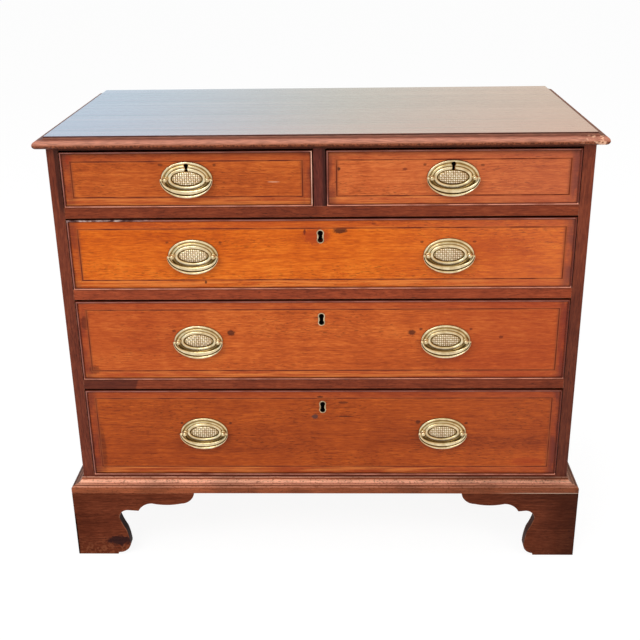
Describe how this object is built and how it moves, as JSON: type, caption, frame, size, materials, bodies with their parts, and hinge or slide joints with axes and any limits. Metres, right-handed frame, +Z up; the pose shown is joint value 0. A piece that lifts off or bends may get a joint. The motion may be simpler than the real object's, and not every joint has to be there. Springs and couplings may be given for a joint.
{
  "type": "chest of drawers",
  "caption": "Low mahogany chest with short drawers over graduated long ones, oval brass handles and bracket feet.",
  "frame": {"origin": "on the floor, in the middle of the chest's overall width and depth", "axes": "+Z up, +X along the width, drawers open towards -Y"},
  "size_m": [0.94, 0.485, 0.8],
  "materials": {
    "aged_brass": "aged, softly polished",
    "back_pine": "bare, aged",
    "bead_mahogany": "polished",
    "carcass_pine": "bare, aged",
    "drawer_bottom_oak": "bare, aged",
    "drawer_lining_oak": "bare, aged",
    "drawer_mahogany": "french polished, with a dark string inlay",
    "foot_mahogany": "polished",
    "lock_brass": "aged",
    "lock_iron": "worn",
    "moulding_mahogany": "polished",
    "rail_mahogany": "polished",
    "rear_foot_wood": "stained",
    "side_mahogany": "polished",
    "top_mahogany": "high french polish"
  },
  "bodies": {
    "carcass": {"back_boards": "back_pine", "base_moulding": "moulding_mahogany", "bottom_board": "carcass_pine", "drawer_rails": "rail_mahogany", "drawer_runners": "carcass_pine", "drawer_stops": "carcass_pine", "dustboards": "carcass_pine", "feet_rear": "rear_foot_wood", "foot_front_left": "foot_mahogany", "foot_front_right": "foot_mahogany", "short_drawer_divider": "rail_mahogany", "side_left": "side_mahogany", "side_right": "side_mahogany", "top": "top_mahogany", "top_rails": "rail_mahogany"},
    "drawer_1_left": {"drawer_1_left_bottom": "drawer_bottom_oak", "drawer_1_left_box": "drawer_lining_oak", "drawer_1_left_cockbead": "bead_mahogany", "drawer_1_left_front": "drawer_mahogany", "drawer_1_left_handle_plates": "aged_brass", "drawer_1_left_lock": "lock_brass"},
    "drawer_1_left_bail": {"drawer_1_left_bail": "aged_brass"},
    "drawer_1_left_lock_bolt": {"drawer_1_left_lock_bolt": "lock_iron"},
    "drawer_1_right": {"drawer_1_right_bottom": "drawer_bottom_oak", "drawer_1_right_box": "drawer_lining_oak", "drawer_1_right_cockbead": "bead_mahogany", "drawer_1_right_front": "drawer_mahogany", "drawer_1_right_handle_plates": "aged_brass", "drawer_1_right_lock": "lock_brass"},
    "drawer_1_right_bail": {"drawer_1_right_bail": "aged_brass"},
    "drawer_1_right_lock_bolt": {"drawer_1_right_lock_bolt": "lock_iron"},
    "drawer_2": {"drawer_2_bottom": "drawer_bottom_oak", "drawer_2_box": "drawer_lining_oak", "drawer_2_cockbead": "bead_mahogany", "drawer_2_front": "drawer_mahogany", "drawer_2_handle_plates": "aged_brass", "drawer_2_lock": "lock_brass"},
    "drawer_2_bail_left": {"drawer_2_bail_left": "aged_brass"},
    "drawer_2_bail_right": {"drawer_2_bail_right": "aged_brass"},
    "drawer_2_lock_bolt": {"drawer_2_lock_bolt": "lock_iron"},
    "drawer_3": {"drawer_3_bottom": "drawer_bottom_oak", "drawer_3_box": "drawer_lining_oak", "drawer_3_cockbead": "bead_mahogany", "drawer_3_front": "drawer_mahogany", "drawer_3_handle_plates": "aged_brass", "drawer_3_lock": "lock_brass"},
    "drawer_3_bail_left": {"drawer_3_bail_left": "aged_brass"},
    "drawer_3_bail_right": {"drawer_3_bail_right": "aged_brass"},
    "drawer_3_lock_bolt": {"drawer_3_lock_bolt": "lock_iron"},
    "drawer_4": {"drawer_4_bottom": "drawer_bottom_oak", "drawer_4_box": "drawer_lining_oak", "drawer_4_cockbead": "bead_mahogany", "drawer_4_front": "drawer_mahogany", "drawer_4_handle_plates": "aged_brass", "drawer_4_lock": "lock_brass"},
    "drawer_4_bail_left": {"drawer_4_bail_left": "aged_brass"},
    "drawer_4_bail_right": {"drawer_4_bail_right": "aged_brass"},
    "drawer_4_lock_bolt": {"drawer_4_lock_bolt": "lock_iron"}
  },
  "joints": [
    {"name": "drawer_1_left_slide", "type": "slide", "parent": "carcass", "child": "drawer_1_left", "axis": [0, -1, 0], "range_m": [0, 0.34]},
    {"name": "drawer_1_left_bail_swing", "type": "hinge", "parent": "drawer_1_left", "child": "drawer_1_left_bail", "pos_m": [-0.22, -0.2305, 0.727], "axis": [-1, 0, 0], "range_deg": [0, 170]},
    {"name": "drawer_1_left_lock_bolt_throw", "type": "slide", "parent": "drawer_1_left", "child": "drawer_1_left_lock_bolt", "axis": [0, 0, 1], "range_m": [0, 0.008]},
    {"name": "drawer_1_right_slide", "type": "slide", "parent": "carcass", "child": "drawer_1_right", "axis": [0, -1, 0], "range_m": [0, 0.34]},
    {"name": "drawer_1_right_bail_swing", "type": "hinge", "parent": "drawer_1_right", "child": "drawer_1_right_bail", "pos_m": [0.22, -0.2305, 0.727], "axis": [-1, 0, 0], "range_deg": [0, 170]},
    {"name": "drawer_1_right_lock_bolt_throw", "type": "slide", "parent": "drawer_1_right", "child": "drawer_1_right_lock_bolt", "axis": [0, 0, 1], "range_m": [0, 0.008]},
    {"name": "drawer_2_slide", "type": "slide", "parent": "carcass", "child": "drawer_2", "axis": [0, -1, 0], "range_m": [0, 0.34]},
    {"name": "drawer_2_bail_left_swing", "type": "hinge", "parent": "drawer_2", "child": "drawer_2_bail_left", "pos_m": [-0.2175, -0.2305, 0.593], "axis": [-1, 0, 0], "range_deg": [0, 170]},
    {"name": "drawer_2_bail_right_swing", "type": "hinge", "parent": "drawer_2", "child": "drawer_2_bail_right", "pos_m": [0.2175, -0.2305, 0.593], "axis": [-1, 0, 0], "range_deg": [0, 170]},
    {"name": "drawer_2_lock_bolt_throw", "type": "slide", "parent": "drawer_2", "child": "drawer_2_lock_bolt", "axis": [0, 0, 1], "range_m": [0, 0.008]},
    {"name": "drawer_3_slide", "type": "slide", "parent": "carcass", "child": "drawer_3", "axis": [0, -1, 0], "range_m": [0, 0.34]},
    {"name": "drawer_3_bail_left_swing", "type": "hinge", "parent": "drawer_3", "child": "drawer_3_bail_left", "pos_m": [-0.2175, -0.2305, 0.435], "axis": [-1, 0, 0], "range_deg": [0, 170]},
    {"name": "drawer_3_bail_right_swing", "type": "hinge", "parent": "drawer_3", "child": "drawer_3_bail_right", "pos_m": [0.2175, -0.2305, 0.435], "axis": [-1, 0, 0], "range_deg": [0, 170]},
    {"name": "drawer_3_lock_bolt_throw", "type": "slide", "parent": "drawer_3", "child": "drawer_3_lock_bolt", "axis": [0, 0, 1], "range_m": [0, 0.008]},
    {"name": "drawer_4_slide", "type": "slide", "parent": "carcass", "child": "drawer_4", "axis": [0, -1, 0], "range_m": [0, 0.34]},
    {"name": "drawer_4_bail_left_swing", "type": "hinge", "parent": "drawer_4", "child": "drawer_4_bail_left", "pos_m": [-0.2175, -0.2305, 0.253], "axis": [-1, 0, 0], "range_deg": [0, 170]},
    {"name": "drawer_4_bail_right_swing", "type": "hinge", "parent": "drawer_4", "child": "drawer_4_bail_right", "pos_m": [0.2175, -0.2305, 0.253], "axis": [-1, 0, 0], "range_deg": [0, 170]},
    {"name": "drawer_4_lock_bolt_throw", "type": "slide", "parent": "drawer_4", "child": "drawer_4_lock_bolt", "axis": [0, 0, 1], "range_m": [0, 0.008]}
  ]
}
